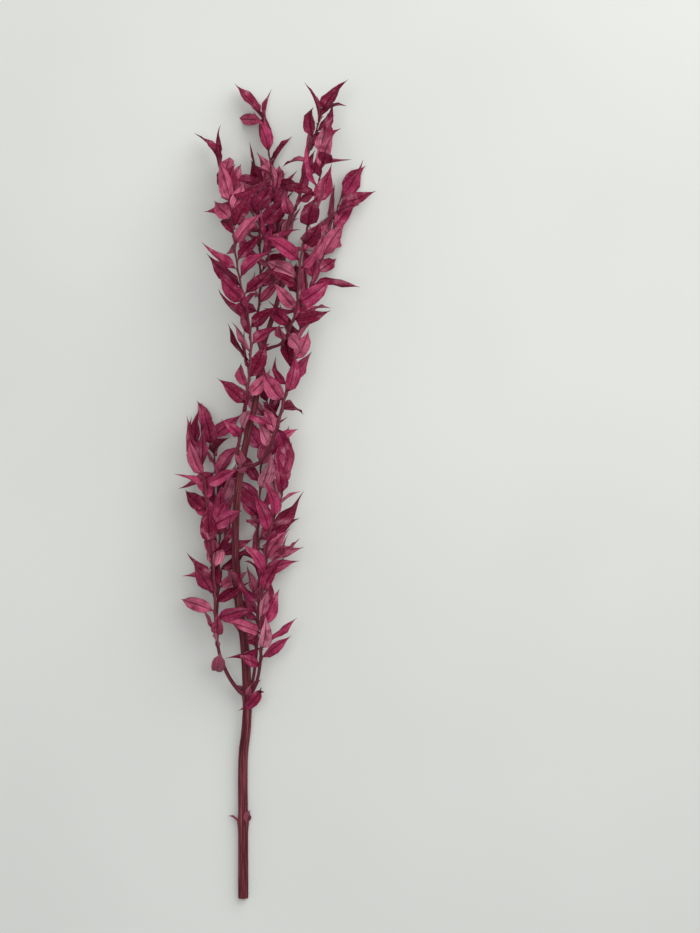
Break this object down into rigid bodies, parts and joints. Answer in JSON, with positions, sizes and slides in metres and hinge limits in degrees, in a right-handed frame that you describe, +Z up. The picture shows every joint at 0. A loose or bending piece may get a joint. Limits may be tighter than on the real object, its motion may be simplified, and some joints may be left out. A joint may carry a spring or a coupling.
{
  "type": "dried ruscus stem",
  "caption": "Dried ruscus stem dyed burgundy: a jointed cane with leafy side sprays, lying on a surface.",
  "frame": {"origin": "bottom centre of the bounding box, on the surface that the stem lies on", "axes": "+Y along the stem from its cut end to its leafy tip, +Z up from the surface, +X to the right seen from above with the tip pointing up"},
  "size_m": [0.1731, 0.7128, 0.1121],
  "materials": {
    "cane": "matt, dyed, with fine lengthwise ridges",
    "leaf": "soft satin, dyed burgundy, with fine lengthwise veins and a little light through it"
  },
  "bodies": {
    "root": {"cane": "cane", "spray_low_left": "leaf", "spray_low_right": "leaf", "spray_low_back": "leaf", "spray_mid_left": "leaf", "spray_mid_right": "leaf", "spray_mid_back": "leaf", "spray_upper_right": "leaf", "spray_upper_left": "leaf", "spray_upper_back": "leaf", "spray_tip": "leaf"}
  },
  "joints": []
}
